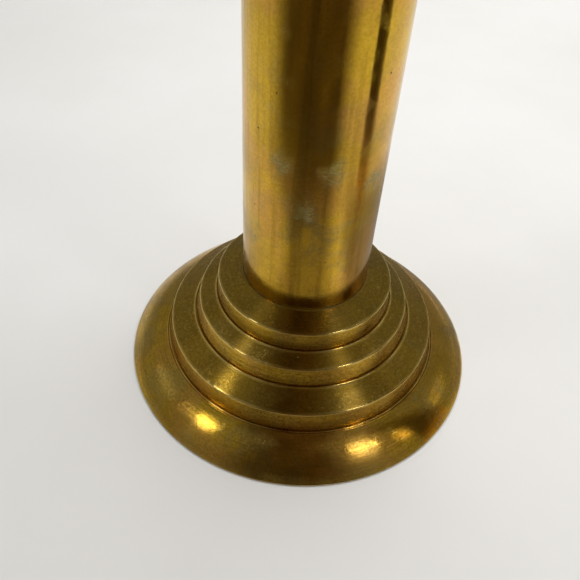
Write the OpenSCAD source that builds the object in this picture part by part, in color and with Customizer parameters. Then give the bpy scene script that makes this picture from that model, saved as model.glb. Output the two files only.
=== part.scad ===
// Table stand for a flag pole: three stepped tiers on a domed foot carry an open tube, and a thumb screw
// at the mouth of the tube presses a swivelling shoe against the pole. Millimetres, +Z up, with the origin
// at the centre of the underside. Threads are drawn as plain rings.

/* [Foot] */
// Diameter of the domed foot
foot_d = 149.2; // [146:0.2:154]
// Height of the foot's rim above the surface it stands on
rim_z = 0.4; // [0.3:0.1:1]
// Height of the upright edge round the rim
rim_edge_h = 0.4; // [0.3:0.1:1.2]
// Height of the dome at its inner edge
dome_z = 10.6; // [10:0.1:11.4]
// Slope of the dome at its inner edge, in degrees
dome_slope = 12; // [6:1:16]

/* [Tiers] */
// Diameter of the lower tier round its top edge
lower_edge_d = 112.2; // [110:0.2:113]
// Diameter of the bead at the foot of the lower tier
lower_foot_d = 116.1; // [115.2:0.1:117]
// Height of the lower tier's upright wall
lower_riser_h = 8.5; // [7.5:0.1:9.5]
// Rise of the lower tread from its edge to the middle tier
lower_tread_h = 3.9; // [3.2:0.1:4.4]
// Diameter of the middle tier round its top edge
middle_edge_d = 87.3; // [85:0.1:88]
// Diameter of the bead at the foot of the middle tier
middle_foot_d = 92.4; // [91:0.1:94]
// Height of the middle tier's upright wall
middle_riser_h = 7.4; // [6.8:0.1:8.2]
// Rise of the middle tread from its edge to the upper tier
middle_tread_h = 2.6; // [2.2:0.1:3.2]
// Diameter of the upper tier round its top edge
upper_edge_d = 71.3; // [70:0.1:72]
// Diameter of the bead at the foot of the upper tier
upper_foot_d = 73.6; // [73:0.1:75]
// Height of the upper tier's upright wall
upper_riser_h = 8.3; // [7.6:0.1:9]
// Rise of the upper tread from its edge to the tube
upper_tread_h = 3.3; // [2.6:0.1:3.8]
// Thickness of the metal in the foot and the tiers
shell_t = 2.6; // [2.2:0.1:2.8]
// Radius of the thin beads round the tiers' feet
bead_r = 0.36; // [0.25:0.01:0.45]
// Radius that breaks each tier's top edge
edge_r = 0.5; // [0.3:0.05:0.8]

/* [Column] */
// Height of the whole stand
stand_h = 216; // [206:1:240]
// Outside diameter of the tube
tube_d = 50.8; // [50.4:0.1:51.2]
// Wall thickness of the tube
tube_wall = 1.6; // [1.4:0.1:1.8]
// Depth of the tube's socket in the upper tier
socket_h = 8; // [6:0.5:8.5]
// Diameter of the hole that takes the pole
pole_hole_d = 32.4; // [28:0.2:34]
// Length of the guide bush at the mouth
bush_h = 40; // [34:1:50]
// Height of the cup that takes the pole's end
cup_h = 32; // [20:1:40]

/* [Collar] */
// Outside diameter of the collar
collar_d = 62; // [59:0.5:62.4]
// Height of the collar
collar_h = 30; // [28:0.5:34]
// Diameter of the narrow steps above and below the collar's band
collar_step_d = 56.6; // [55:0.2:58]
// Thickness of the lip over the end of the tube
lip_t = 2.6; // [2.2:0.1:3]

/* [Thumb screw] */
// Diameter over the screw's thread
screw_d = 8; // [7:0.5:8]
// Advance of the screw in one turn
screw_pitch = 1.25; // [1:0.05:1.5]
// Travel of the shoe from open to fully tightened
screw_travel = 7.5; // [5:0.25:7.5]
// Diameter of the knurled head
knob_d = 19; // [17:0.5:22]
// Length of the knurled head
knob_h = 8; // [7:0.5:10]
// Number of grooves round the head
knurls = 30; // [24:1:34]
// Diameter of the shoe that presses on the pole
shoe_d = 9.4; // [8.8:0.1:9.6]

/* [Underside] */
// Thickness of the felt pad
felt_t = 1.6; // [1.2:0.1:1.8]
// Thickness of the steel cover
cover_t = 2.4; // [2.3:0.1:2.6]
// Diameter over the tie rod's thread
rod_d = 10; // [9:0.5:10]

/* [Hidden] */
$fn = 96;
EPS = 0.01;

// Clearances between pieces
thread_gap = 0.05;
slip_gap = 0.1;
loose_gap = 0.4;

// Thread form, in pitches: depth of the roots, and where each crest starts and ends
thread_depth = 0.45;
crest_start = 0.42;
crest_end = 0.58;

// Heights where each tier stands, from the lower one up
lower_foot_z = dome_z + 0.3;
lower_edge_z = lower_foot_z + lower_riser_h;
middle_foot_z = lower_edge_z + lower_tread_h;
middle_edge_z = middle_foot_z + middle_riser_h;
upper_foot_z = middle_edge_z + middle_tread_h;
upper_edge_z = upper_foot_z + upper_riser_h;
column_z = upper_edge_z + upper_tread_h;

// A tier stands in a flat rebate in the piece below, and its wall leaves a narrow joint beside the bead
rebate_h = 0.5;
joint_w = 0.25;
lower_seat_z = lower_foot_z - rebate_h;
middle_seat_z = middle_foot_z - rebate_h;
upper_seat_z = upper_foot_z - rebate_h;

// The dome is one arc through its inner edge and the top of the rim
foot_r = foot_d / 2;
bead_gap = 0.76;
dome_in = [lower_foot_d / 2 + bead_gap, dome_z];
dome_out = [foot_r, rim_z + rim_edge_h];
dome_up = [sin(dome_slope), cos(dome_slope)];
dome_chord = dome_out - dome_in;
dome_r = -(dome_chord * dome_chord) / (2 * dome_chord * dome_up);
dome_c = dome_in - dome_r * dome_up;

// Openings inside the stack, and the ballast steps that fill them
foot_bore_r = 50.4;
lower_bore_r = 38.4;
middle_bore_r = 28.4;
ballast_gap = 0.4;
cover_z = felt_t + cover_t;
cover_r = dome_c[0] + sqrt(pow(dome_r - shell_t, 2) - pow(cover_z - dome_c[1], 2)) - ballast_gap;
ballast_rim_r = cover_r - 2;
shoulder_z = lower_seat_z - shell_t;
shoulder_r = 58;
ballast_top_z = upper_seat_z - rebate_h;
ballast_lower_step_z = middle_seat_z - shell_t - 4.5;
ballast_middle_step_z = upper_seat_z - shell_t - 5.5;
nut_pocket_r = 15;
nut_pocket_z = 17.4;

// Tube, plug, cup and bush
tube_r = tube_d / 2;
tube_bore_r = tube_r - tube_wall;
tube_z = column_z - socket_h;
tube_end_z = stand_h - lip_t;
plug_gap = 0.5;
plug_h = 12;
plug_z = tube_z + plug_gap;
cup_z = plug_z + plug_h;
cup_floor = 3;
pad_t = 3;
seat_z = cup_z + cup_floor + pad_t;
pole_hole_r = pole_hole_d / 2;
insert_r = tube_bore_r - slip_gap;
lead_in = 2;
cup_lead_in = 4;
bush_top_z = tube_end_z - 0.2;
bush_z = bush_top_z - bush_h;
dowel_r = 2;
dowel_at = 15;
dowel_h = 14;

// Collar
collar_r = collar_d / 2;
collar_step_r = collar_step_d / 2;
collar_z = stand_h - collar_h;
collar_step_h = 4.5;
mouth_r = pole_hole_r + 1.2;
grub_start = tube_r + thread_gap / 2;
grub_r = 2;
grub_h = 4.8;
grub_key_r = 1.15;
grub_key_depth = 2;

// Thumb screw and shoe, measured outwards from the tube's axis
screw_z = collar_z + collar_h / 2;
screw_r = screw_d / 2;
shoe_face_x = pole_hole_r + 0.3;
shoe_t = 4.2;
shoe_r = shoe_d / 2;
shoe_back_x = shoe_face_x + shoe_t;
shank_x = shoe_back_x + 0.2;
tip_r = 1.9;
tip_h = 3.1;
clip_x = shoe_face_x + 2.4;
clip_w = 0.6;
clip_slot_w = 0.8;
shoulder_x = collar_r + screw_travel + 1;
shoulder_h = 1.6;
screw_shoulder_r = 6.4;
knob_x = shoulder_x + shoulder_h;
knob_r = knob_d / 2;
knurl_r = 0.55;
knob_ring_r = knob_r - 2.6;
knob_ring_w = 1;
knob_ring_depth = 0.8;

// Tie rod, nut and screws
rod_r = rod_d / 2;
rod_pitch = 1.5;
rod_z = cover_z + 0.6;
rod_top_z = cup_z - 2;
rod_thread_h = 14;
washer_t = 2;
spring_t = 2.2;
nut_h = 8;
nut_flats = 17;
cover_screws_n = 4;
cover_screw_at = 42;
cover_screw_r = 2;
cover_screw_h = 12;
cover_head_r = 4;

brass = [0.72, 0.55, 0.24];
dark_brass = [0.60, 0.44, 0.18];
steel = [0.62, 0.63, 0.65];
iron = [0.24, 0.24, 0.25];
nylon = [0.07, 0.07, 0.07];
felt = [0.10, 0.22, 0.14];
rubber = [0.13, 0.12, 0.11];

function unit(v) = v / norm(v);

// Half of the angle at corner p between its neighbours a and b
function half_angle(a, p, b) = acos(unit(a - p) * unit(b - p)) / 2;

// Point inside corner p that is the distance d from both of its sides
function inset(a, p, b, d) = p + unit(unit(a - p) + unit(b - p)) * d / sin(half_angle(a, p, b));

// Where the line through p along direction v reaches the height z
function at_height(p, v, z) = p + v * (z - p[1]) / v[1];

// An outline's corner cut back to where an arc of radius r touches its sides
function cut_corner(a, p, b, r) =
    r == 0 ? [p] : let (back = r / tan(half_angle(a, p, b))) [p + unit(a - p) * back, p + unit(b - p) * back];

// Outline with true arcs on its outward corners, one radius to a corner
module rounded_outline(points, radii) {
    n = len(points);
    last = n - 1;
    polygon([for (i = [0:last])
        each cut_corner(points[(i + last) % n], points[i], points[(i + 1) % n], radii[i])]);
    for (i = [0:last])
        if (radii[i] > 0)
            translate(inset(points[(i + last) % n], points[i], points[(i + 1) % n], radii[i]))
                circle(r = radii[i]);
}

// Half outline of a thread's rings from z0 up to about z1, with crests of radius r
function thread_points(r, pitch, z0, z1) =
    [for (k = [0:floor((z1 - z0) / pitch) - 1]) each [
        [r - pitch * thread_depth, z0 + k * pitch],
        [r, z0 + (k + crest_start) * pitch],
        [r, z0 + (k + crest_end) * pitch]]];

module ring(r_out, r_in, z, h) {
    translate([0, 0, z])
        difference() {
            cylinder(r = r_out, h = h);
            translate([0, 0, -1])
                cylinder(r = r_in, h = h + 2);
        }
}

// Puts its children's +Z along +X at the height of the thumb screw
module along_screw() {
    translate([0, 0, screw_z])
        rotate([0, 90, 0])
            children();
}

module domed_foot() {
    color(brass)
        rotate_extrude() {
            difference() {
                intersection() {
                    translate(dome_c)
                        circle(r = dome_r, $fn = 240);
                    translate([dome_in[0] - bead_r / 2, rim_z])
                        square([foot_r - dome_in[0] + bead_r / 2, dome_z]);
                }
                translate(dome_c)
                    circle(r = dome_r - shell_t, $fn = 240);
            }
            translate([foot_bore_r, shoulder_z])
                square([dome_in[0] - foot_bore_r, shell_t]);
            for (at = [lower_foot_d / 2, dome_in[0]])
                translate([at, dome_z])
                    circle(r = bead_r);
        }
}

// A hollow tier: upright wall, sloping tread, and a flat rebate with a bead that takes the tier above
module shell_tier(foot_d, seat_z, edge_d, edge_z, next_d, next_z, bore_r) {
    foot = [foot_d / 2 - bead_r - joint_w, seat_z];
    edge = [edge_d / 2, edge_z];
    tread_end = [next_d / 2, next_z];
    next_seat_z = next_z - rebate_h;
    under_edge = inset(foot, edge, tread_end, shell_t);
    under_tread = at_height(under_edge, tread_end - edge, next_seat_z - shell_t);
    under_foot = at_height(under_edge, foot - edge, seat_z);
    rotate_extrude() {
        rounded_outline(
            [foot, edge, tread_end, [tread_end[0], next_seat_z], [bore_r, next_seat_z],
                [bore_r, next_seat_z - shell_t], under_tread, under_edge, under_foot],
            [0, edge_r, 0, 0, 0, 0, 0, 0, 0]);
        translate([tread_end[0], next_z - bead_r / 2])
            circle(r = bead_r);
    }
}

module lower_tier() {
    color(brass)
        shell_tier(lower_foot_d, lower_seat_z, lower_edge_d, lower_edge_z,
            middle_foot_d, middle_foot_z, lower_bore_r);
}

module middle_tier() {
    color(brass)
        shell_tier(middle_foot_d, middle_seat_z, middle_edge_d, middle_edge_z,
            upper_foot_d, upper_foot_z, middle_bore_r);
}

// The upper tier is solid, with a socket for the tube and holes for the tie rod and the dowel
module upper_tier() {
    color(brass)
        difference() {
            rotate_extrude()
                rounded_outline(
                    [[upper_foot_d / 2 - bead_r - joint_w, upper_seat_z], [upper_edge_d / 2, upper_edge_z],
                        [tube_r + thread_gap, column_z], [tube_r + thread_gap, tube_z],
                        [rod_r + slip_gap, tube_z], [rod_r + slip_gap, upper_seat_z]],
                    [0, edge_r, 0, 0, 0, 0]);
            dowel_hole(upper_seat_z - 1, socket_h);
        }
}

module dowel_hole(z, h) {
    translate([dowel_at, 0, z])
        cylinder(r = dowel_r + thread_gap, h = h);
}

module column_tube() {
    color(brass)
        difference() {
            ring(tube_r, tube_bore_r, tube_z, tube_end_z - tube_z);
            along_screw()
                cylinder(r = screw_r + loose_gap, h = tube_r + 1);
        }
}

module top_collar() {
    bore_r = tube_r + thread_gap;
    band_z = collar_z + collar_step_h;
    band_end_z = stand_h - collar_step_h;
    color(brass)
        difference() {
            rotate_extrude()
                rounded_outline(
                    [[bore_r, collar_z], [collar_step_r, collar_z], [collar_step_r, band_z],
                        [collar_r, band_z], [collar_r, band_end_z], [collar_step_r, band_end_z],
                        [collar_step_r, stand_h], [mouth_r, stand_h], [mouth_r, tube_end_z],
                        [bore_r, tube_end_z]],
                    [0, 0.8, 0, 0.8, 1.2, 0, 1.6, 1.1, 0, 0]);
            along_screw()
                cylinder(r = screw_r + thread_gap, h = collar_r + 1);
            grub_places()
                cylinder(r = grub_r + thread_gap, h = collar_r);
        }
}

// Places for the three grub screws, square to the thumb screw and opposite it
module grub_places() {
    for (turn = [90:90:270])
        rotate([0, 0, turn])
            translate([grub_start, 0, screw_z])
                rotate([0, 90, 0])
                    children();
}

module collar_grub_screws() {
    color(steel)
        grub_places()
            difference() {
                cylinder(r = grub_r, h = grub_h);
                translate([0, 0, grub_h - grub_key_depth])
                    cylinder(r = grub_key_r, h = grub_key_depth + 1, $fn = 6);
            }
}

module guide_bush() {
    color(nylon)
        difference() {
            rotate_extrude()
                polygon([[pole_hole_r, bush_z + lead_in], [pole_hole_r + lead_in, bush_z], [insert_r, bush_z],
                    [insert_r, bush_top_z], [pole_hole_r + lead_in, bush_top_z],
                    [pole_hole_r, bush_top_z - lead_in]]);
            along_screw()
                cylinder(r = shoe_r + loose_gap, h = tube_r);
        }
}

module pole_cup() {
    mouth_z = cup_z + cup_h;
    pocket_r = pole_hole_r - 0.3;
    pocket_z = cup_z + cup_floor;
    color(nylon)
        rotate_extrude()
            polygon([[0, cup_z], [insert_r, cup_z], [insert_r, mouth_z], [pole_hole_r + cup_lead_in, mouth_z],
                [pole_hole_r, mouth_z - cup_lead_in], [pole_hole_r, seat_z], [pocket_r, seat_z],
                [pocket_r, pocket_z], [0, pocket_z]]);
}

module rest_pad() {
    color(rubber)
        translate([0, 0, cup_z + cup_floor])
            cylinder(r = pole_hole_r - 0.5, h = pad_t);
}

module tube_plug() {
    color(dark_brass)
        difference() {
            ring(tube_bore_r - thread_gap, rod_r + thread_gap, plug_z, plug_h);
            dowel_hole(plug_z - 1, dowel_h);
        }
}

// One dowel keys the ballast, the upper tier and the plug, so the column can't turn on its rod
module locating_dowel() {
    color(steel)
        translate([dowel_at, 0, upper_seat_z - dowel_h / 2 + 2])
            cylinder(r = dowel_r, h = dowel_h);
}

module tie_rod() {
    core_r = rod_r - rod_pitch * thread_depth;
    color(steel)
        rotate_extrude()
            polygon(concat([[0, rod_z]], thread_points(rod_r, rod_pitch, rod_z, rod_z + rod_thread_h),
                [[core_r, rod_z + rod_thread_h], [core_r, rod_top_z - rod_thread_h]],
                thread_points(rod_r, rod_pitch, rod_top_z - rod_thread_h, rod_top_z), [[0, rod_top_z]]));
}

module plain_washer() {
    color(steel)
        ring(nut_pocket_r - 2, rod_r + slip_gap, nut_pocket_z - washer_t, washer_t);
}

module spring_washer() {
    bottom_z = nut_pocket_z - washer_t - spring_t;
    color(steel)
        difference() {
            ring(rod_r + 4, rod_r + slip_gap, bottom_z, spring_t);
            translate([rod_r, -0.5, bottom_z - 1])
                rotate([20, 0, 0])
                    cube([6, 1, 2 * spring_t + 1]);
        }
}

module tie_nut() {
    bottom_z = nut_pocket_z - washer_t - spring_t - nut_h;
    color(steel)
        translate([0, 0, bottom_z])
            difference() {
                cylinder(r = nut_flats / 2 / cos(30), h = nut_h, $fn = 6);
                translate([0, 0, -1])
                    cylinder(r = rod_r + thread_gap, h = nut_h + 2);
            }
}

// Stepped casting whose shoulder presses the foot's flange up against the tiers
module ballast_weight() {
    color(iron)
        difference() {
            rotate_extrude()
                polygon([[rod_r + 1, cover_z], [ballast_rim_r, cover_z], [shoulder_r, shoulder_z],
                    [foot_bore_r - ballast_gap, shoulder_z],
                    [foot_bore_r - ballast_gap, ballast_lower_step_z],
                    [lower_bore_r - ballast_gap, ballast_lower_step_z],
                    [lower_bore_r - ballast_gap, ballast_middle_step_z],
                    [middle_bore_r - ballast_gap, ballast_middle_step_z],
                    [middle_bore_r - ballast_gap, ballast_top_z],
                    [rod_r + 1, ballast_top_z]]);
            translate([0, 0, cover_z - 1])
                cylinder(r = nut_pocket_r, h = nut_pocket_z - cover_z + 1);
            dowel_hole(upper_seat_z - dowel_h / 2, dowel_h);
            cover_screw_places()
                cylinder(r = cover_screw_r + thread_gap, h = cover_screw_h + 1);
        }
}

module cover_screw_places() {
    for (k = [0:cover_screws_n - 1])
        rotate([0, 0, 45 + k * 360 / cover_screws_n])
            translate([cover_screw_at, 0, felt_t])
                children();
}

module bottom_cover() {
    color(steel)
        difference() {
            translate([0, 0, felt_t])
                cylinder(r = cover_r, h = cover_t);
            cover_screw_places()
                rotate_extrude()
                    polygon([[0, -1], [cover_head_r + slip_gap, -1], [cover_head_r + slip_gap, 0],
                        [cover_screw_r + slip_gap, cover_head_r - cover_screw_r],
                        [cover_screw_r + slip_gap, cover_t + 1], [0, cover_t + 1]]);
        }
}

module cover_screws() {
    slot_w = 1;
    slot_l = 4;
    slot_depth = 1.2;
    color(steel)
        cover_screw_places()
            difference() {
                rotate_extrude()
                    polygon([[0, 0.1], [cover_head_r - 0.1, 0.1],
                        [cover_screw_r, cover_head_r - cover_screw_r], [cover_screw_r, cover_screw_h],
                        [0, cover_screw_h]]);
                for (turn = [0, 90])
                    rotate([0, 0, turn])
                        translate([-slot_l / 2, -slot_w / 2, -1])
                            cube([slot_l, slot_w, slot_depth + 1]);
            }
}

module felt_pad() {
    color(felt)
        cylinder(r = cover_r - 0.6, h = felt_t);
}

// The shoe swivels on the screw's tip, and a ring slot inside it takes the clip
module clamp_shoe() {
    chamfer = 0.6;
    color(dark_brass)
        along_screw()
            difference() {
                rotate_extrude()
                    polygon([[0, shoe_face_x], [shoe_r - chamfer, shoe_face_x],
                        [shoe_r, shoe_face_x + chamfer], [shoe_r, shoe_back_x], [0, shoe_back_x]]);
                translate([0, 0, shank_x - tip_h - 0.2])
                    cylinder(r = tip_r + slip_gap / 2, h = tip_h + 1);
                translate([0, 0, clip_x])
                    cylinder(r = tip_r + 0.8, h = clip_slot_w);
            }
}

module thumb_screw() {
    core_r = screw_r - screw_pitch * thread_depth;
    clip_slot_r = tip_r - 0.5;
    color(brass)
        along_screw()
            difference() {
                rotate_extrude() {
                    polygon(concat(
                        [[0, shank_x - tip_h], [tip_r, shank_x - tip_h], [tip_r, clip_x],
                            [clip_slot_r, clip_x], [clip_slot_r, clip_x + clip_slot_w],
                            [tip_r, clip_x + clip_slot_w], [tip_r, shank_x]],
                        thread_points(screw_r, screw_pitch, shank_x, shoulder_x),
                        [[core_r, shoulder_x - EPS], [core_r, knob_x + 1], [0, knob_x + 1]]));
                    rounded_outline(
                        [[0, shoulder_x], [screw_shoulder_r, shoulder_x], [screw_shoulder_r, knob_x + 1],
                            [0, knob_x + 1]],
                        [0, 0.5, 0, 0]);
                    rounded_outline(
                        [[0, knob_x], [knob_r, knob_x], [knob_r, knob_x + knob_h], [0, knob_x + knob_h]],
                        [0, 0.8, 1.4, 0]);
                }
                for (k = [0:knurls - 1])
                    rotate([0, 0, k * 360 / knurls])
                        translate([knob_r + knurl_r * 0.2, 0, knob_x - 1])
                            cylinder(r = knurl_r, h = knob_h + 2);
                ring(knob_ring_r, knob_ring_r - knob_ring_w, knob_x + knob_h - knob_ring_depth, knob_h);
            }
}

module shoe_clip() {
    gap_w = 1.2;
    color(steel)
        along_screw()
            translate([0, 0, clip_x + (clip_slot_w - clip_w) / 2])
                difference() {
                    ring(tip_r + 0.6, tip_r - 0.4, 0, clip_w);
                    translate([0, -gap_w / 2, -1])
                        cube([tip_r + 2, gap_w, clip_w + 2]);
                }
}

domed_foot();
lower_tier();
middle_tier();
upper_tier();
column_tube();
top_collar();
collar_grub_screws();
guide_bush();
pole_cup();
rest_pad();
tube_plug();
locating_dowel();
tie_rod();
plain_washer();
spring_washer();
tie_nut();
ballast_weight();
bottom_cover();
cover_screws();
felt_pad();
clamp_shoe();
thumb_screw();
shoe_clip();
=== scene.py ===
"""Looks for the flag pole stand: aged, turned brass on a pale table. Metres, in the CAD model's frame.

The turned brass pieces are built here as fine lathe meshes on the CAD outlines and stand for their CAD nodes.
Their outlines are written in millimetres and scaled once, in lathe().
"""

import math
import random

import bmesh
import bpy
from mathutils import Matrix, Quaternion, Vector, noise


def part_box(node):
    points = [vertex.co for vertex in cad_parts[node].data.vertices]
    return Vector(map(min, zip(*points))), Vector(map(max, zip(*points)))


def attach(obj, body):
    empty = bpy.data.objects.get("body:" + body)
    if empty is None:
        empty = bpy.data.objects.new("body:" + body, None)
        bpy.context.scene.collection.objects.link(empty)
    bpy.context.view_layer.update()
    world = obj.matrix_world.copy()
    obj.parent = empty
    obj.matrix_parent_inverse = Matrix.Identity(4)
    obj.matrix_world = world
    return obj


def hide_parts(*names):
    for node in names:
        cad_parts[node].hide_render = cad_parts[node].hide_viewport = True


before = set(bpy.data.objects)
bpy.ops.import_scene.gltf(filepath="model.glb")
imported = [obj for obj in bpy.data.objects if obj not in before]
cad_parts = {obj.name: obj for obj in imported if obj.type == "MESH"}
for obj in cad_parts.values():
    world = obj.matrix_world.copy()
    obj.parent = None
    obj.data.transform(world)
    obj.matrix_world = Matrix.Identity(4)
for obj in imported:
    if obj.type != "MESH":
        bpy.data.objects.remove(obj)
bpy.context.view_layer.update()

MM = 0.001

# ---------------------------------------------------------------- sizes of the turned pieces, in millimetres

FOOT_R = 74.6
RIM_Z = 0.4
RIM_EDGE_H = 0.4
DOME_Z = 10.6
DOME_SLOPE = 12.0
SHELL_T = 2.6
BEAD_R = 0.36
EDGE_R = 0.5
JOINT_W = 0.25
REBATE_H = 0.5
BEAD_GAP = 0.76
FOOT_BORE_R = 50.4

# Each tier: radius and height of its foot's bead, radius and height of its top edge, and its bore
LOWER = {"foot": (58.05, 10.9), "edge": (56.1, 19.4), "bore": 38.4}
MIDDLE = {"foot": (46.2, 23.3), "edge": (43.65, 30.7), "bore": 28.4}
UPPER = {"foot": (36.8, 33.3), "edge": (35.65, 41.6), "bore": 5.1}

COLUMN_Z = 44.9
SOCKET_H = 8.0
TUBE_R = 25.4
TUBE_BORE_R = 23.8
SLIP = 0.05
TUBE_Z = COLUMN_Z - SOCKET_H
STAND_H = 216.0
LIP_T = 2.6
TUBE_END_Z = STAND_H - LIP_T

COLLAR_R = 31.0
COLLAR_STEP_R = 28.3
COLLAR_Z = 186.0
COLLAR_STEP_H = 4.5
COLLAR_BAND = (COLLAR_Z + COLLAR_STEP_H, STAND_H - COLLAR_STEP_H)
MOUTH_R = 17.4
SCREW_Z = 201.0
SCREW_R = 4.0
SCREW_HOLE_R = 4.4
GRUB_R = 2.0
DOWEL_R = 2.05
DOWEL_AT = 15.0

# How far wear or dirt reaches from its ring, and how strong it is. The neck's band is dirt in the joint and
# painted shade round it.
JOINT_DIRT = (0.28, 0.4)
NECK_DIRT_AND_SHADE = (0.7, 1.0)
STEP_DIRT = (0.5, 1.0)
# The wear on edges and beads is partly painted highlight.
EDGE_WEAR_AND_HIGHLIGHT = (0.34, 1.4)
BEAD_WEAR_AND_HIGHLIGHT = (0.42, 1.6)
# A rounded edge's crest, in and down from its sharp corner
EDGE_CREST = (0.15, 0.1)

SEGMENTS = 512
FILL_SLACK = 0.3

# ---------------------------------------------------------------- camera and stage

CAMERA_AT = Vector((0.0, -0.1849, 0.2118))
CAMERA_AIM = Vector((-0.0056, 0.0, 0.0295))
CAMERA_ROLL = math.radians(3.78)
CAMERA_LENS_MM = 37.5
CAMERA_SENSOR_MM = 36.0

LAMP_DISTANCE = 1.2
FLOOR_HALF = 1.5

# The hood and the post, in millimetres and degrees. The hood's painted shade lies just over the table from
# beside the foot out to its radius, and rises from there.
HOOD_R = 900
HOOD_HOLE_R = 75.5
HOOD_Z = 1.0
HOOD_TOP_ANGLE = 88
HOOD_SEGMENTS = 96
POST_AZIMUTH = 75
POST_DISTANCE = 180
POST_R = 27
POST_Z = (2, 420)


def make_camera():
    data = bpy.data.cameras.new("camera")
    data.lens = CAMERA_LENS_MM
    data.sensor_width = CAMERA_SENSOR_MM
    data.clip_start = 0.01
    camera = bpy.data.objects.new("camera", data)
    camera.location = CAMERA_AT
    camera.rotation_mode = "QUATERNION"
    level = (CAMERA_AIM - CAMERA_AT).to_track_quat("-Z", "Y")
    camera.rotation_quaternion = level @ Quaternion((0, 0, 1), CAMERA_ROLL)
    bpy.context.scene.collection.objects.link(camera)
    bpy.context.scene.camera = camera


def new_object(name, mesh):
    piece = bpy.data.objects.new(name, mesh)
    bpy.context.scene.collection.objects.link(piece)
    return piece


def toward(azimuth, elevation):
    """Direction from the stand: azimuth 0 is towards the camera, and positive is to its right."""
    a, e = math.radians(azimuth), math.radians(elevation)
    return Vector((math.sin(a) * math.cos(e), -math.cos(a) * math.cos(e), math.sin(e)))


def make_lamp(name, azimuth, elevation, size, watts, colour, spin=0, distance=LAMP_DISTANCE, reflected=True):
    """Oval lamp that looks at the origin. spin turns it about the way it looks, in degrees."""
    data = bpy.data.lights.new(name, "AREA")
    data.shape = "ELLIPSE"
    data.size, data.size_y = size
    data.energy = watts
    data.color = colour
    lamp = bpy.data.objects.new(name, data)
    lamp.location = toward(azimuth, elevation) * distance
    lamp.rotation_mode = "QUATERNION"
    facing = (-lamp.location).to_track_quat("-Z", "Y")
    lamp.rotation_quaternion = facing @ Quaternion((0, 0, 1), math.radians(spin))
    lamp.visible_glossy = reflected
    bpy.context.scene.collection.objects.link(lamp)


def make_world(colour, strength):
    world = bpy.data.worlds.new("room")
    world.use_nodes = True
    background = world.node_tree.nodes["Background"]
    background.inputs["Color"].default_value = (*colour, 1)
    background.inputs["Strength"].default_value = strength
    bpy.context.scene.world = world


# ---------------------------------------------------------------- material nodes


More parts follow.
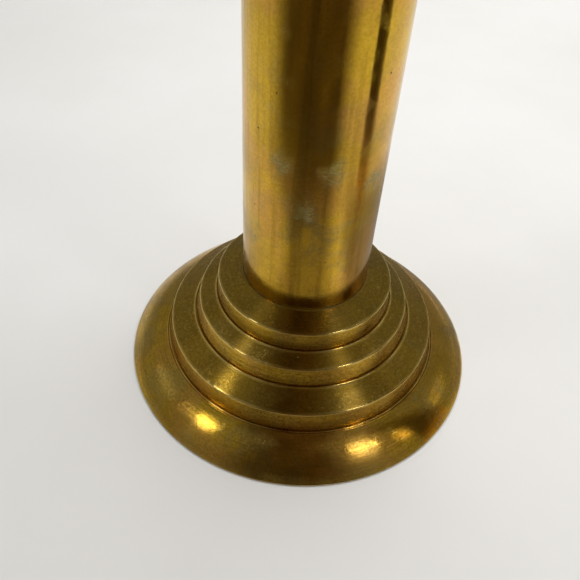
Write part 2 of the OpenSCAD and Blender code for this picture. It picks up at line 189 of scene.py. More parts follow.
class Nodes:
    """Builds one material's nodes. An input takes a number, a colour or another node's output."""

    def __init__(self, name):
        self.material = bpy.data.materials.new(name)
        self.material.use_nodes = True
        self.tree = self.material.node_tree
        self.shader = self.tree.nodes["Principled BSDF"]
        self.where = self.node("TexCoord").outputs["Object"]

    def put(self, socket, value):
        if isinstance(value, bpy.types.NodeSocket):
            self.tree.links.new(value, socket)
        else:
            socket.default_value = value

    def node(self, kind, inputs=None, **settings):
        made = self.tree.nodes.new("ShaderNode" + kind)
        for key, value in settings.items():
            setattr(made, key, value)
        for key, value in (inputs or {}).items():
            self.put(made.inputs[key], value)
        return made

    def math(self, operation, a, b=0.0):
        return self.node("Math", {0: a, 1: b}, operation=operation).outputs[0]

    def add(self, *values):
        total = values[0]
        for value in values[1:]:
            total = self.math("ADD", total, value)
        return total

    def times(self, a, b):
        return self.math("MULTIPLY", a, b)

    def vector(self, operation, a, b=(0, 0, 0)):
        return self.node("VectorMath", {0: a, 1: b}, operation=operation).outputs["Vector"]

    def scaled(self, vector, x, y, z):
        return self.vector("MULTIPLY", vector, (x, y, z))

    def shifted(self, vector, x, y, z):
        return self.vector("ADD", vector, (x, y, z))

    def length(self, vector):
        return self.node("VectorMath", {0: vector}, operation="LENGTH").outputs["Value"]

    def combined(self, x=0.0, y=0.0, z=0.0):
        return self.node("CombineXYZ", {0: x, 1: y, 2: z}).outputs[0]

    def place(self):
        """The point's x, y and z."""
        return self.node("SeparateXYZ", {0: self.where}).outputs

    def noise(self, where, scale, detail=2.0, rough=0.5, twist=0.0):
        sockets = {"Vector": where, "Scale": scale, "Detail": detail, "Roughness": rough, "Distortion": twist}
        return self.node("TexNoise", sockets).outputs["Fac"]

    def fade(self, value, low, high, start=0.0, end=1.0):
        """start below low, end above high, and a smooth step between."""
        sockets = {"Value": value, "From Min": low, "From Max": high, "To Min": start, "To Max": end}
        return self.node("MapRange", sockets, interpolation_type="SMOOTHSTEP").outputs[0]

    def mix(self, factor, a, b):
        colours = {key: (*c, 1) if isinstance(c, tuple) else c for key, c in ((6, a), (7, b))}
        return self.node("Mix", {0: factor, **colours}, data_type="RGBA").outputs[2]

    def attribute(self, name):
        return self.node("Attribute", attribute_name=name).outputs["Fac"]

    def spots(self, cell, size, share):
        """Round spots: one to a cell, in that share of the cells. 1 inside a spot and 0 outside."""
        cells = self.node("TexVoronoi", {"Vector": self.where, "Scale": 1 / cell})
        inside = self.fade(cells.outputs["Distance"], size / cell * 0.5, size / cell, 1.0, 0.0)
        chance = self.node("SeparateColor", {0: cells.outputs["Color"]}).outputs[0]
        return self.times(inside, self.math("LESS_THAN", chance, share))

    def scratches(self, turn, length, width, share):
        """Thin straight marks of one direction, in patches. A larger share makes the patches larger."""
        angles = tuple(math.radians(turn * part) for part in (1.0, 0.7, 1.3))
        sockets = {"Vector": self.where, "Rotation": angles}
        turned = self.node("VectorRotate", sockets, rotation_type="EULER_XYZ").outputs[0]
        lines = self.noise(self.scaled(turned, 1 / length, 1 / width, 1 / width), 1.0, 1.0)
        ridge = self.math("ABSOLUTE", self.math("SUBTRACT", lines, 0.5))
        cloud = self.noise(self.shifted(self.where, turn, 0, 0), 90.0, 2.0)
        patches = self.fade(cloud, 0.62 - share, 0.7 - share)
        return self.times(self.fade(ridge, 0.0, 0.02, 1.0, 0.0), patches)

    def finish(self, colour, roughness, height=None, metallic=None):
        """Sets the shader's inputs. The height of its relief is in millimetres."""
        self.put(self.shader.inputs["Base Color"], colour)
        self.put(self.shader.inputs["Roughness"], roughness)
        if metallic is not None:
            self.put(self.shader.inputs["Metallic"], metallic)
        if height is not None:
            bump = self.node("Bump", {"Strength": 1.0, "Distance": MM, "Height": height})
            self.put(self.shader.inputs["Normal"], bump.outputs[0])
        return self.material


CLEAN = (0.73, 0.45, 0.035)
DEEP = (0.47, 0.27, 0.03)
OLIVE = (0.40, 0.30, 0.10)
UMBER = (0.22, 0.14, 0.02)
ROSY = (0.70, 0.36, 0.075)
PALE = (0.84, 0.63, 0.20)
DIRT_AND_SHADE = (0.045, 0.024, 0.006)
VERDIGRIS = (0.15, 0.29, 0.16)


def stain(g, spots):
    """Ragged green spots. Each is (azimuth, height, size) on the tube, in degrees and millimetres."""
    ragged = g.node("TexNoise", {"Vector": g.where, "Scale": 160.0, "Detail": 3.0}).outputs["Color"]
    push = g.shifted(ragged, -0.5, -0.5, -0.5)
    stained = 0.0
    for azimuth, height, size in spots:
        centre = toward(azimuth, 0) * TUBE_R * MM + Vector((0, 0, height * MM))
        pushed = g.vector("ADD", g.where, g.scaled(push, *(size * MM * 1.6,) * 3))
        distance = g.node("VectorMath", {0: pushed, 1: centre}, operation="DISTANCE").outputs["Value"]
        stained = g.math("MAXIMUM", g.fade(distance, 0.0, size * MM, 1.0, 0.0), stained)
    broken = g.noise(g.scaled(g.where, 260.0, 260.0, 900.0), 1.0, 5.0, 0.7)
    return g.times(stained, g.fade(broken, 0.34, 0.64, 0.5, 1.0))


def brass(name, roughness, stretch, tarnish=1.0, grooves=1.0, peel=1.0, specks=0.3, pits=0.1, axis="Z",
          stains=(), drawn=False):
    """Aged brass with its turning marks round an axis, or along it if drawn. stretch blurs reflections across
    the turning marks. tarnish, grooves, peel, specks and pits set how strong those are."""
    g = Nodes(name)
    g.shader.inputs["Anisotropic"].default_value = stretch
    g.shader.inputs["Anisotropic Rotation"].default_value = 0.25
    g.put(g.shader.inputs["Tangent"], g.node("Tangent", direction_type="RADIAL", axis=axis).outputs[0])

    x, y, z = g.place()
    if axis == "X":
        # The clamp's axis, through the screw
        x, y, z = y, g.math("SUBTRACT", z, SCREW_Z * MM), x
    across = g.combined(x, y)
    round_it = g.vector("NORMALIZE", across)
    lift = g.combined(z=g.math("SUBTRACT", g.length(across), z))

    def marks(length, width, detail=1.0):
        """Marks that run round the axis; length is a share of a turn."""
        ways = g.scaled(round_it, 1 / length, 1 / length, 1.0)
        return g.noise(g.vector("ADD", ways, g.scaled(lift, 0, 0, 1 / width)), 1.0, detail)

    # Turning marks and scratches
    fine = marks(0.5, 0.00016)
    broad = g.noise(g.scaled(g.where, 330.0, 330.0, 16.0), 1.0, 3.0) if drawn else marks(0.8, 0.0011, 3.0)
    lines = marks(0.3, 0.0004, 2.0)
    streaks = g.fade(marks(0.12, 0.00035, 2.0), 0.60, 0.72)
    cuts = g.add(g.scratches(35, 0.011, 0.00014, 0.06), g.scratches(-62, 0.014, 0.00012, 0.04))

    # Tarnish in clouds and specks. A drawn piece is cleaner above its middle
    cloud = g.noise(g.where, 30.0, 6.0, 0.62, 0.4)
    film = g.noise(g.shifted(g.where, 3.1, 0.4, 1.7), 52.0, 8.0, 0.68, 0.6)
    bloom = g.noise(g.shifted(g.where, 7.7, 2.9, 0.2), 34.0, 4.0, 0.6, 0.3)
    speck = g.noise(g.shifted(g.where, 1.9, 5.3, 4.1), 1100.0, 3.0, 0.65)
    aged = g.fade(z, 0.075, 0.15, 1.1 * tarnish, 0.4 * tarnish) if drawn else tarnish
    olive = g.times(g.times(g.fade(film, 0.46, 0.62), 0.65), aged)
    dull = g.times(g.times(g.fade(cloud, 0.42, 0.62), 0.75), aged)

    # Where the mesh is worn or dirty, with pits and stains. The wear is partly painted highlight, the grime
    # partly painted shade, and the darkening on top faces is painted shade.
    painted_top_shade = g.attribute("painted_top_shade")
    wear_and_highlight = g.attribute("wear_and_highlight")
    holes = g.spots(0.0065, 0.00042, pits)
    dirt_and_shade = g.math("MINIMUM", g.add(g.attribute("grime_and_shade"), holes), 1.0)
    stained = stain(g, stains) if stains else 0.0

    colour = g.mix(dull, CLEAN, DEEP)
    colour = g.mix(olive, colour, OLIVE)
    colour = g.mix(g.times(g.fade(bloom, 0.46, 0.60), 0.65 * tarnish), colour, ROSY)
    colour = g.mix(g.times(g.fade(broad, 0.50, 0.64), 0.6 if drawn else 0.35), colour, DEEP)
    # Painted shade: faces that look up are darkened towards umber
    colour = g.mix(g.times(painted_top_shade, g.fade(cloud, 0.3, 0.6, 0.85, 0.6)), colour, UMBER)
    colour = g.mix(g.times(streaks, 0.20), colour, PALE)
    colour = g.mix(g.times(g.fade(lines, 0.5, 0.62), 0.35 * grooves), colour, DEEP)
    colour = g.mix(g.times(g.fade(speck, 0.48, 0.60), 0.6 * specks), colour, UMBER)
    colour = g.mix(g.times(g.fade(speck, 0.42, 0.34), 0.5 * specks), colour, PALE)
    colour = g.mix(g.times(cuts, 0.35), colour, PALE)
    colour = g.mix(g.times(stained, 0.5), colour, VERDIGRIS)
    # Wear: paler metal, partly a painted highlight line
    colour = g.mix(g.times(wear_and_highlight, 0.9), colour, PALE)
    # Pits and dirt, with painted shade at the neck and the foot's rim, towards near black
    colour = g.mix(g.times(dirt_and_shade, 0.85), colour, DIRT_AND_SHADE)

    rough = g.add(roughness, g.times(olive, 0.12), g.times(dull, 0.06),
                  g.times(g.math("SUBTRACT", broad, 0.5), 0.16))
    rough = g.add(rough, g.times(dirt_and_shade, 0.25), g.times(g.math("SUBTRACT", speck, 0.5), 0.2 * specks),
                  g.times(stained, 0.15))
    rough = g.math("MAXIMUM", g.fade(wear_and_highlight, 0.0, 0.8, rough, 0.11), 0.07)

    waves = g.noise(g.shifted(g.where, 2.2, 8.1, 6.4), 130.0, 2.0)
    skin = g.noise(g.shifted(g.where, 4.4, 1.3, 9.2), 620.0, 3.0, 0.6)
    turning = g.add(g.times(fine, 0.0035 * grooves), g.times(broad, 0.012 * grooves))
    height = g.add(turning, g.times(waves, 0.05 * peel), g.times(skin, 0.014 * peel), g.times(holes, -0.15),
                   g.times(cuts, -0.004), g.times(lines, 0.004 * grooves), g.times(speck, 0.004))
    covered = g.add(dirt_and_shade, g.times(stained, 0.8))
    return g.finish(colour, rough, height, g.fade(covered, 0.0, 1.0, 1.0, 0.3))


def steel():
    """Zinc-plated steel: grey with a faint blue and straw bloom, and fine handling marks."""
    g = Nodes("steel_zinc")
    bloom = g.noise(g.where, 160.0, 4.0, 0.6)
    spangle = g.noise(g.where, 1500.0, 2.0)
    colour = g.mix(g.fade(bloom, 0.4, 0.62), (0.56, 0.58, 0.62), (0.60, 0.57, 0.49))
    colour = g.mix(g.times(g.fade(spangle, 0.5, 0.7), 0.3), colour, (0.40, 0.41, 0.43))
    cuts = g.scratches(20, 0.006, 0.0001, 0.1)
    rough = g.add(0.30, g.times(spangle, 0.12), g.times(cuts, -0.08))
    height = g.add(g.times(spangle, 0.006), g.times(cuts, -0.006))
    return g.finish(g.mix(g.times(cuts, 0.4), colour, (0.78, 0.79, 0.80)), rough, height, 1.0)


def cast_iron():
    """Rough grey casting with sand texture and a little rust."""
    g = Nodes("cast_iron_raw")
    sand = g.noise(g.where, 900.0, 5.0, 0.65)
    rust = g.fade(g.noise(g.where, 70.0, 6.0, 0.7), 0.56, 0.68)
    colour = g.mix(g.fade(sand, 0.35, 0.65), (0.055, 0.055, 0.058), (0.13, 0.128, 0.125))
    colour = g.mix(g.times(rust, 0.7), colour, (0.17, 0.06, 0.022))
    rough = g.fade(rust, 0.0, 1.0, 0.62, 0.85)
    metallic = g.fade(rust, 0.0, 1.0, 0.7, 0.1)
    return g.finish(colour, rough, g.times(sand, 0.14), metallic)


def black_nylon():
    """Turned black plastic: fine tool rings, pale rub marks and dust."""
    g = Nodes("nylon_turned")
    x, y, z = g.place()
    radius = g.length(g.combined(x, y))
    rings = g.noise(g.combined(z=g.math("SUBTRACT", radius, z)), 2800.0, 1.0)
    dust = g.fade(g.noise(g.where, 240.0, 5.0, 0.7), 0.52, 0.72)
    colour = g.mix(g.times(dust, 0.5), (0.014, 0.014, 0.015), (0.075, 0.072, 0.066))
    rough = g.add(0.36, g.times(rings, 0.12), g.times(dust, 0.2))
    return g.finish(colour, rough, g.times(rings, 0.02))


def rubber():
    """Matt black rubber with a fine moulded grain."""
    g = Nodes("rubber_matt")
    grain = g.noise(g.where, 1900.0, 3.0)
    worn_and_highlit = g.fade(g.noise(g.where, 150.0, 4.0), 0.5, 0.7)
    colour = g.mix(g.times(worn_and_highlit, 0.6), (0.02, 0.019, 0.018), (0.06, 0.056, 0.05))
    return g.finish(colour, g.add(0.68, g.times(grain, 0.15)), g.times(grain, 0.03))


def felt():
    """Pressed green wool: crossing fibres, pilling and a soft sheen."""
    g = Nodes("felt_green")
    g.shader.inputs["Sheen Weight"].default_value = 0.55
    g.shader.inputs["Sheen Roughness"].default_value = 0.6
    g.shader.inputs["Sheen Tint"].default_value = (0.45, 0.62, 0.5, 1)
    one = g.noise(g.scaled(g.where, 500.0, 2600.0, 900.0), 1.0, 3.0, 0.6, 1.6)
    two = g.noise(g.scaled(g.where, 2600.0, 500.0, 900.0), 1.0, 3.0, 0.6, 1.6)
    fibres = g.math("MAXIMUM", one, two)
    pills = g.noise(g.where, 330.0, 4.0, 0.6)
    colour = g.mix(g.fade(fibres, 0.45, 0.72), (0.010, 0.045, 0.024), (0.045, 0.15, 0.085))
    colour = g.mix(g.times(g.fade(pills, 0.5, 0.7), 0.35), colour, (0.09, 0.20, 0.13))
    return g.finish(colour, 0.92, g.add(g.times(fibres, 0.12), g.times(pills, 0.12)))


def table_top():
    """Pale satin surface with faint clouds."""
    g = Nodes("table_top")
    cloud = g.noise(g.where, 5.0, 4.0, 0.55)
    colour = g.mix(g.fade(cloud, 0.35, 0.65), (0.79, 0.785, 0.765), (0.83, 0.825, 0.81))
    return g.finish(colour, 0.42)


def hood_painted_shade():
    """Painted reflection and painted shadow: a dark sheet that glows a little, so that no lamp changes it. It
    covers the hood and the table in front, the top of the hood, and the table beside the stand at the right.
    Everywhere else it is clear."""
    g = Nodes("flag_painted_shade")
    x, y, z = g.place()
    front = g.times(y, -1.0)
    azimuth = g.math("ARCTAN2", x, front)
    radius = g.length(g.where)
    on_table = g.fade(z, 0.002, 0.004, 1.0, 0.0)

    shift = g.times(on_table, g.fade(radius, 0.1, 0.2, 0.0, math.radians(29)))
    left = g.fade(g.add(azimuth, shift), math.radians(-50), math.radians(-15))
    right = g.fade(azimuth, math.radians(22), math.radians(52), 1.0, 0.0)
    # Painted shade in front: a dark reflection on the hood, and a painted shadow on the table
    ahead = g.times(g.times(left, right), g.fade(front, 0.08, 0.2, 0.62, 0.95))
    # Painted reflection of the dark overhead
    top_z = HOOD_R * MM
    overhead = g.fade(z, top_z * math.sin(math.radians(72)), top_z * math.sin(math.radians(80)))
    start = g.math("SUBTRACT", azimuth, g.fade(radius, 0.085, 0.11, math.radians(20), 0.0))
    # Painted shadow on the table beside the stand at the right
    beside = g.times(g.fade(start, math.radians(42), math.radians(62)), g.fade(radius, 0.15, 0.20, 0.62, 0.0))
    cover = g.math("MAXIMUM", ahead, g.math("MAXIMUM", overhead, g.times(beside, on_table)))

    folds = g.noise(g.scaled(g.where, 7.0, 7.0, 0.8), 1.0, 3.0)
    colour = g.mix(g.fade(folds, 0.4, 0.62), (0.03, 0.016, 0.006), (0.085, 0.055, 0.024))
    # Painted shade: a faint dark glow that no lamp changes
    dark = g.node("Emission", {"Color": colour, "Strength": 1.0}).outputs[0]
    clear = g.node("BsdfTransparent").outputs[0]
    both = g.node("MixShader", {0: cover, 1: clear, 2: dark}).outputs[0]
    g.put(g.tree.nodes["Material Output"].inputs["Surface"], both)
    return g.material


def post_cloth():
    """Dark brown cloth over a brass foot."""
    g = Nodes("post_cloth")
    folds = g.noise(g.scaled(g.where, 30.0, 30.0, 6.0), 1.0, 3.0)
    dark = g.mix(g.fade(folds, 0.38, 0.64), (0.07, 0.048, 0.014), (0.12, 0.09, 0.03))
    height = g.place()[2]
    return g.finish(g.mix(g.fade(height, 0.012, 0.032), (0.80, 0.46, 0.08), dark), 0.5)


# ---------------------------------------------------------------- outlines, in millimetres


def arc(centre, radius, start, end, step=12.0):
    """Points on an arc from the angle start to end, in degrees."""
    count = max(2, math.ceil(abs(end - start) / step))
    angles = [math.radians(start + (end - start) * k / count) for k in range(count + 1)]
    return [(centre[0] + radius * math.cos(a), centre[1] + radius * math.sin(a)) for a in angles]


def corner(before, at, after, radius):
    """Arc of that radius across the corner at `at`."""
    p = Vector(at)
    to_before, to_after = (Vector(before) - p).normalized(), (Vector(after) - p).normalized()
    half = to_before.angle(to_after) / 2
    centre = p + (to_before + to_after).normalized() * radius / math.sin(half)
    first = p + to_before * radius / math.tan(half) - centre
    last = p + to_after * radius / math.tan(half) - centre
    start = math.degrees(math.atan2(first.y, first.x))
    sweep = math.degrees(math.atan2(first.x * last.y - first.y * last.x, first.dot(last)))
    return arc(centre, radius, start, start + sweep)


def rounded(points, radii):
    """Closed outline with arcs on the corners that have a radius."""
    outline = []
    for k, (at, radius) in enumerate(zip(points, radii)):
        after = points[(k + 1) % len(points)]
        outline += corner(points[k - 1], at, after, radius) if radius else [at]
    return outline


def divided(outline, longest):
    """The closed outline with no stretch longer than that."""
    points = []
    for k, a in enumerate(outline):
        b = outline[(k + 1) % len(outline)]
        count = max(1, math.ceil(math.dist(a, b) / longest))
        points += [tuple(Vector(a).lerp(Vector(b), i / count)) for i in range(count)]
    return points


def foot_outline():
    """Domed foot, from its bore's upper corner outwards over the two beads and the dome."""
    bead_at = [LOWER["foot"][0], LOWER["foot"][0] + BEAD_GAP]
    seat_z = LOWER["foot"][1] - REBATE_H
    inner, outer = Vector((bead_at[1], DOME_Z)), Vector((FOOT_R, RIM_Z + RIM_EDGE_H))
    slope = math.radians(DOME_SLOPE)
    up = Vector((math.sin(slope), math.cos(slope)))
    chord = outer - inner
    radius = -chord.length_squared / (2 * chord.dot(up))
    centre = inner - up * radius

    def angle_of(p):
        return math.degrees(math.atan2(p[1] - centre.y, p[0] - centre.x))

    sunk = math.degrees(math.asin((seat_z - DOME_Z) / BEAD_R))
    on_dome = math.degrees(BEAD_R / radius)
    inside = radius - SHELL_T
    under_z = centre.y + math.sqrt(inside**2 - (inner.x - centre.x) ** 2)
    rim_r = centre.x + math.sqrt(inside**2 - (RIM_Z - centre.y) ** 2)
    outline = [(FOOT_BORE_R, seat_z)]
    outline += arc((bead_at[0], DOME_Z), BEAD_R, 180 - sunk, sunk)
    outline += arc((bead_at[1], DOME_Z), BEAD_R, 180 - sunk, -DOME_SLOPE - on_dome / 2)
    outline += arc(centre, radius, angle_of(inner) - on_dome, angle_of(outer), 1.5)
    outline += [(FOOT_R, RIM_Z), (rim_r, RIM_Z)]
    outline += arc(centre, inside, angle_of((rim_r, RIM_Z)), angle_of((inner.x, under_z)), 3)
    return outline + [(inner.x, seat_z - SHELL_T), (FOOT_BORE_R, seat_z - SHELL_T)]


def tier_outline(tier, above):
    """Hollow tier: upright wall, sloping tread, bead, and the flat rebate that takes the tier above."""
    foot = Vector((tier["foot"][0] - BEAD_R - JOINT_W, tier["foot"][1] - REBATE_H))
    edge, end = Vector(tier["edge"]), Vector(above["foot"])
    seat_z = end.y - REBATE_H
    out = (edge - end).normalized()
    middle = end - Vector((0, BEAD_R / 2))
    drop = BEAD_R / 2 * out.y
    on_tread = end + out * (math.sqrt(drop**2 + BEAD_R**2 * 0.75) - drop) - middle
    start = math.degrees(math.atan2(on_tread.y, on_tread.x))
    sunk = math.degrees(math.asin((seat_z - middle.y) / BEAD_R))
    bead = arc(middle, BEAD_R, start, 180 - sunk)
    wall, tread = (foot - edge).normalized(), -out
    half = wall.angle(tread) / 2
    inside = edge + (wall + tread).normalized() * SHELL_T / math.sin(half)
    under_tread = inside + tread * (seat_z - SHELL_T - inside.y) / tread.y
    under_foot = inside + wall * (foot.y - inside.y) / wall.y
    outline = [tuple(foot)] + corner(foot, edge, end, EDGE_R) + bead
    outline += [(tier["bore"], seat_z), (tier["bore"], seat_z - SHELL_T)]
    return outline + [tuple(under_tread), tuple(inside), tuple(under_foot)]


def upper_outline():
    """Solid upper tier with the socket for the tube."""
    foot = (UPPER["foot"][0] - BEAD_R - JOINT_W, UPPER["foot"][1] - REBATE_H)
    bore = TUBE_R + SLIP
    points = [foot, UPPER["edge"], (bore, COLUMN_Z), (bore, TUBE_Z)]
    points += [(UPPER["bore"], TUBE_Z), (UPPER["bore"], foot[1])]
    return rounded(points, [0, EDGE_R, 0.15, 0, 0, 0])


def tube_outline():
    return [(TUBE_BORE_R, TUBE_Z), (TUBE_R, TUBE_Z), (TUBE_R, TUBE_END_Z), (TUBE_BORE_R, TUBE_END_Z)]


def collar_outline():
    """Collar with a wider band between two steps, and a lip over the tube's end."""
    bore = TUBE_R + SLIP
    low, high = COLLAR_BAND
    points = [(bore, COLLAR_Z), (COLLAR_STEP_R, COLLAR_Z), (COLLAR_STEP_R, low), (COLLAR_R, low)]
    points += [(COLLAR_R, high), (COLLAR_STEP_R, high), (COLLAR_STEP_R, STAND_H), (MOUTH_R, STAND_H)]
    points += [(MOUTH_R, TUBE_END_Z), (bore, TUBE_END_Z)]
    return rounded(points, [0, 0.8, 0, 0.8, 1.2, 0, 1.6, 1.1, 0, 0])


# ---------------------------------------------------------------- meshes


def lathe(name, outline, segments=SEGMENTS):
    """Closed outline of (radius, height) in millimetres, turned round Z. The object is in metres."""
    turns = [(math.cos(t), math.sin(t)) for t in (2 * math.pi * j / segments for j in range(segments))]
    points = [(r * MM * c, r * MM * s, z * MM) for r, z in outline for c, s in turns]
    count = len(outline)
    faces = []
    for i in range(count):
        a, b = i * segments, (i + 1) % count * segments
        faces += [(a + j, a + (j + 1) % segments, b + (j + 1) % segments, b + j) for j in range(segments)]
    mesh = bpy.data.meshes.new(name)
    mesh.from_pydata(points, [], faces)
    return new_object(name, mesh)


def tidy_mesh(piece, sharp=28):
    """Points its faces outwards, joins doubled points and smooths it between sharp edges."""
    shape = bmesh.new()
    shape.from_mesh(piece.data)
    bmesh.ops.remove_doubles(shape, verts=shape.verts, dist=1e-7)
    bmesh.ops.recalc_face_normals(shape, faces=shape.faces)
    shape.to_mesh(piece.data)
    shape.free()
    piece.data.shade_smooth()
    piece.data.set_sharp_from_angle(angle=math.radians(sharp))


def drill(piece, radius, start, direction, length):
    """Cuts a round hole; places are in millimetres."""
    cutter = lathe("cutter", [(0.0, 0.0), (radius, 0.0), (radius, length), (0.0, length)], 64)
    tidy_mesh(cutter)
    cutter.location = Vector(start) * MM
    cutter.rotation_mode = "QUATERNION"
    cutter.rotation_quaternion = Vector((0, 0, 1)).rotation_difference(Vector(direction))
    cut = piece.modifiers.new("hole", "BOOLEAN")
    cut.object, cut.operation, cut.solver = cutter, "DIFFERENCE", "EXACT"
    bpy.context.view_layer.update()
    ready = piece.evaluated_get(bpy.context.evaluated_depsgraph_get())
    old, piece.data = piece.data, bpy.data.meshes.new_from_object(ready)
    piece.modifiers.clear()
    bpy.data.meshes.remove(old)
    bpy.data.objects.remove(cutter)


def mark_surface(piece, worn_and_highlit, dirty_and_shaded, painted_top_shade_strength):
    """Point values that the brass reads: wear, partly painted highlight, on the rings for wear; grime, partly
    painted shade, near the rings for dirt; and painted shade where it faces up. A ring is (radius, height,
    reach, strength), with its lengths in millimetres."""

    def near(place, rings):
        at = Vector((math.hypot(place.x, place.y) / MM, place.z / MM))
        gaps = [((at - Vector((r, z))).length / reach, strength) for r, z, reach, strength in rings]
        return max((strength * math.exp(-gap * gap) for gap, strength in gaps), default=0)

    for label, rings in (("wear_and_highlight", worn_and_highlit), ("grime_and_shade", dirty_and_shaded)):
        values = piece.data.attributes.new(label, "FLOAT", "POINT")
        for vertex, value in zip(piece.data.vertices, values.data):
            patchy = 0.65 + 0.7 * noise.noise(vertex.co * 160)
            value.value = min(1.0, near(vertex.co, rings) * patchy)
    # Painted shade on faces that look up
    values = piece.data.attributes.new("painted_top_shade", "FLOAT", "POINT")
    for vertex, value in zip(piece.data.vertices, values.data):
        value.value = painted_top_shade_strength if vertex.normal.z > 0.85 else 0.0


def knock(piece, ring, count, seed):
    """Small dents of handling on an edge, at random places round it."""
    draw = random.Random(seed)
    radius, height = ring[0] * MM, ring[1] * MM
    for _ in range(count):
        turn = draw.uniform(0, 2 * math.pi)
        centre = Vector((radius * math.cos(turn), radius * math.sin(turn), height))
        reach, depth = draw.uniform(0.9, 1.8) * MM, draw.uniform(0.05, 0.13) * MM
        inward = Vector((-centre.x, -centre.y, -radius * 0.7)).normalized()
        for vertex in piece.data.vertices:
            gap = (vertex.co - centre).length / reach
            if gap < 1:
                vertex.co += inward * depth * (1 - gap**2) ** 2


def stand_for(piece, node, body, material):
    """Puts the piece in a CAD node's place, which it has to fill."""
    low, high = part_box(node)
    points = [vertex.co for vertex in piece.data.vertices]
    for axis in range(3):
        span = [p[axis] for p in points]
        if max(abs(min(span) - low[axis]), abs(max(span) - high[axis])) > FILL_SLACK * MM:
            raise ValueError(f"{piece.name} doesn't fill {node} along axis {axis}")
    piece.data.materials.clear()
    piece.data.materials.append(material)
    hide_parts(node)
    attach(piece, body)


def turned(node, outline, material, longest=0.8, worn_and_highlit=(), dirty_and_shaded=(), holes=(), knocks=0, seed=0, painted_top_shade_strength=0.0):
    """One turned brass piece in its node's place. Its knocks are on the first of the worn rings."""
    piece = lathe(node + "_turned", divided(outline, longest))
    tidy_mesh(piece)
    for hole in holes:
        drill(piece, *hole)
    if knocks:
        knock(piece, worn_and_highlit[0], knocks, seed)
    mark_surface(piece, worn_and_highlit, dirty_and_shaded, painted_top_shade_strength)
    tidy_mesh(piece)
    stand_for(piece, node, "stand", material)


def make_base_pieces():
    """Foot and tiers, with dirt in their joints, painted shade at the neck, the foot's rim and on top of the
    tiers, and worn edges and beads partly painted as highlight lines.
    """
    dome = brass("brass_dome", 0.15, 0.75, 0.95, 1.8, 1.2, specks=0.5, pits=0.07)
    tread = brass("brass_tread", 0.21, 0.88, 0.6, 1.3, 0.6, specks=0.75, pits=0.10)
    tiers = (LOWER, MIDDLE, UPPER)
    foot_joint = (LOWER["foot"][0] - BEAD_R, LOWER["foot"][1] - REBATE_H, *JOINT_DIRT)
    gaps = [(t["foot"][0] - BEAD_R - JOINT_W / 2, t["foot"][1] - REBATE_H, *JOINT_DIRT) for t in tiers]
    edges = [(t["edge"][0] - EDGE_CREST[0], t["edge"][1] - EDGE_CREST[1], *EDGE_WEAR_AND_HIGHLIGHT) for t in tiers]
    beads = [(*t["foot"], *BEAD_WEAR_AND_HIGHLIGHT) for t in tiers]
    neck = (TUBE_R, COLUMN_Z, *NECK_DIRT_AND_SHADE)
    dowel_hole = (DOWEL_R, (DOWEL_AT, 0, UPPER["foot"][1] - REBATE_H - 1), (0, 0, 1), SOCKET_H)

    # Painted shade, not dirt: the second of the foot's dark rings, at its rim, darkens the dome next to the
    # table.
    turned("domed_foot", foot_outline(), dome, worn_and_highlit=[(FOOT_R, RIM_Z + RIM_EDGE_H, 0.35, 1.0), beads[0]],
           dirty_and_shaded=[foot_joint, (FOOT_R, 2.5, 2.5, 0.3)], knocks=7, seed=3)
    turned("lower_tier", tier_outline(LOWER, MIDDLE), tread, worn_and_highlit=[edges[0], beads[1]],
           dirty_and_shaded=[gaps[0], gaps[1]], knocks=9, seed=5, painted_top_shade_strength=0.9)
    turned("middle_tier", tier_outline(MIDDLE, UPPER), tread, worn_and_highlit=[edges[1], beads[2]],
           dirty_and_shaded=[gaps[1], gaps[2]], knocks=7, seed=8, painted_top_shade_strength=0.95)
    turned("upper_tier", upper_outline(), tread, worn_and_highlit=[edges[2]], dirty_and_shaded=[gaps[2], neck],
           holes=[dowel_hole], knocks=6, seed=13, painted_top_shade_strength=1.0)


def make_column_pieces():
    """Tube with its stains and the screw's way through its wall, and the collar with its tapped holes."""
    spots = ((-24, 106, 7.0), (-2, 90, 6.0), (16, 105, 8.0), (54, 99, 7.5))
    tube = brass("brass_tube", 0.13, 0.85, 1.0, 0.2, 0.8, specks=0.3, pits=0.25, stains=spots, drawn=True)
    collar = brass("brass_collar", 0.26, 0.75, 0.8, 1.2, 0.6, pits=0.08)
    screw_way = (SCREW_HOLE_R, (TUBE_BORE_R - 3, 0, SCREW_Z), (1, 0, 0), 8)
    tapped = [(SCREW_R, 1, 0), (GRUB_R, 0, 1), (GRUB_R, -1, 0), (GRUB_R, 0, -1)]
    cut_r, cut_length = 20, 20
    tapped_holes = [(r + SLIP, (x * cut_r, y * cut_r, SCREW_Z), (x, y, 0), cut_length) for r, x, y in tapped]
    low, high = COLLAR_BAND

    turned("column_tube", tube_outline(), tube, longest=2.5, dirty_and_shaded=[(TUBE_R, COLUMN_Z, *NECK_DIRT_AND_SHADE)],
           holes=[screw_way])
    turned("top_collar", collar_outline(), collar, knocks=5, seed=21, holes=tapped_holes,
           worn_and_highlit=[(COLLAR_R, high, 0.9, 1.0), (COLLAR_R, low, 0.6, 1.0), (COLLAR_STEP_R, STAND_H, 0.9, 1.0),
                 (MOUTH_R, STAND_H, 0.8, 0.7)],
           dirty_and_shaded=[(COLLAR_STEP_R, low, *STEP_DIRT), (COLLAR_STEP_R, high, *STEP_DIRT)])


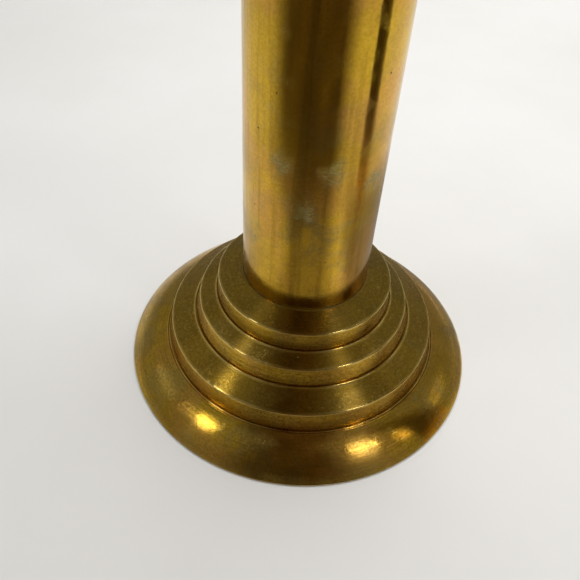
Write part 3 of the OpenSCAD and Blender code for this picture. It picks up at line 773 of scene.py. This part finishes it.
def make_felt(material):
    """Felt disc with a soft uneven edge and a napped underside."""
    _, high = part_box("felt_pad")
    radius, thick = high[0] / MM, high[2] / MM
    outline = rounded([(0.0, thick), (0.0, 0.0), (radius, 0.0), (radius, thick)], [0, 0, 0.7, 0.3])
    piece = lathe("felt_disc", divided(outline, 0.9), 384)
    tidy_mesh(piece, 60)
    for vertex in piece.data.vertices:
        rim = math.hypot(vertex.co.x, vertex.co.y) / (radius * MM)
        nap = noise.fractal(vertex.co * 900, 1.0, 2.0, 3) * 0.05 * MM
        # Nap on the underside, inside the rim
        if vertex.co.z < 0.5 * thick * MM and rim < 0.995:
            vertex.co.z += abs(nap)
        # Uneven edge
        if rim > 0.98:
            pull = 1 - (0.10 + 0.14 * noise.noise(vertex.co * 240)) / radius
            vertex.co.x *= pull
            vertex.co.y *= pull
    stand_for(piece, "felt_pad", "stand", material)


def make_rest_pad(material):
    """Moulded rubber pad with raised rings and a soft edge."""
    low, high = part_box("rest_pad")
    radius, base, top = high[0] / MM, low[2] / MM, high[2] / MM
    outline = [(0.0, base), (radius, base)] + corner((radius, base), (radius, top), (0, top), 0.6)
    for ring in (12.5, 9.0, 5.5):
        groove = [(0.9, top), (0.6, top - 0.5), (-0.6, top - 0.5), (-0.9, top)]
        outline += [(ring + across, z) for across, z in groove]
    outline += [(2.0, top), (0.0, top)]
    piece = lathe("rest_pad_moulded", divided(outline, 1.5), 128)
    tidy_mesh(piece)
    stand_for(piece, "rest_pad", "stand", material)


def dress_nodes():
    """Materials for the CAD nodes that stay as they are."""
    metal, plastic, iron = steel(), black_nylon(), cast_iron()
    looks = {"guide_bush": plastic, "pole_cup": plastic, "ballast_weight": iron}
    for name in ("collar_grub_screws", "locating_dowel", "tie_rod", "plain_washer", "spring_washer",
                 "tie_nut", "bottom_cover", "cover_screws", "shoe_clip"):
        looks[name] = metal
    looks["thumb_screw"] = brass("brass_screw", 0.25, 0.6, 0.8, 0.8, 0.5, pits=0.04, axis="X")
    looks["clamp_shoe"] = brass("brass_shoe", 0.30, 0.6, 0.9, 1.0, 0.5, pits=0.04, axis="X")
    looks["tube_plug"] = brass("brass_plug", 0.34, 0.6, 1.0, 1.0, 0.6, pits=0.05)
    for name, look in looks.items():
        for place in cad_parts[name].material_slots:
            place.material = look


# ---------------------------------------------------------------- floor, flags and light


def make_floor():
    corners = [(x * FLOOR_HALF, y * FLOOR_HALF, 0) for x, y in ((-1, -1), (1, -1), (1, 1), (-1, 1))]
    mesh = bpy.data.meshes.new("floor")
    mesh.from_pydata(corners, [], [(0, 1, 2, 3)])
    mesh.materials.append(table_top())
    new_object("floor", mesh)


def only_reflected(piece):
    piece.visible_camera = False
    piece.visible_diffuse = False
    piece.visible_transmission = False
    piece.visible_shadow = False


def make_hood():
    """Hood round the scene, open at its top, for the dark things that the brass mirrors: painted reflection
    and shadow.
    """
    outline = [(HOOD_HOLE_R, HOOD_Z)] + arc((0, HOOD_Z), HOOD_R, 0, HOOD_TOP_ANGLE, 4)
    hood = lathe("flag_hood", outline, HOOD_SEGMENTS)
    shape = bmesh.new()
    shape.from_mesh(hood.data)
    shape.faces.ensure_lookup_table()
    closing_faces = shape.faces[-HOOD_SEGMENTS:]
    bmesh.ops.delete(shape, geom=closing_faces, context="FACES")
    shape.to_mesh(hood.data)
    shape.free()
    hood.data.materials.append(hood_painted_shade())
    only_reflected(hood)


def make_post():
    """Dark post at the right, where the brass mirrors a second stand."""
    low, high = POST_Z
    post = lathe("flag_post", [(0, low), (POST_R, low), (POST_R, high), (0, high)], 48)
    post.location = toward(POST_AZIMUTH, 0) * (POST_DISTANCE * MM)
    post.data.materials.append(post_cloth())
    only_reflected(post)


def make_lights():
    make_world((1.0, 0.985, 0.95), 0.24)
    make_lamp("lamp_left", -70, 53, (0.34, 0.17), 0.80, (1.0, 0.99, 0.97), spin=129)
    make_lamp("lamp_right", 56, 51, (0.19, 0.26), 1.2, (1.0, 0.99, 0.96))
    make_lamp("lamp_warm", 78, 36, (0.20, 0.32), 0.34, (1.0, 0.80, 0.55))
    make_lamp("glow_left", -98, 36, (0.4, 0.3), 0.09, (1.0, 0.98, 0.92))
    make_lamp("glow_right", 104, 27, (0.4, 0.3), 0.10, (1.0, 0.96, 0.86))
    make_lamp("glow_side", 88, 48, (0.3, 0.3), 0.13, (1.0, 0.96, 0.86))
    make_lamp("fill_back", 160, 57, (1.3, 1.3), 9.6, (1.0, 0.99, 0.98), distance=0.90, reflected=False)


bpy.context.scene.view_settings.view_transform = "Standard"
make_camera()
make_floor()
make_hood()
make_post()
make_lights()
make_base_pieces()
make_column_pieces()
make_felt(felt())
make_rest_pad(rubber())
dress_nodes()
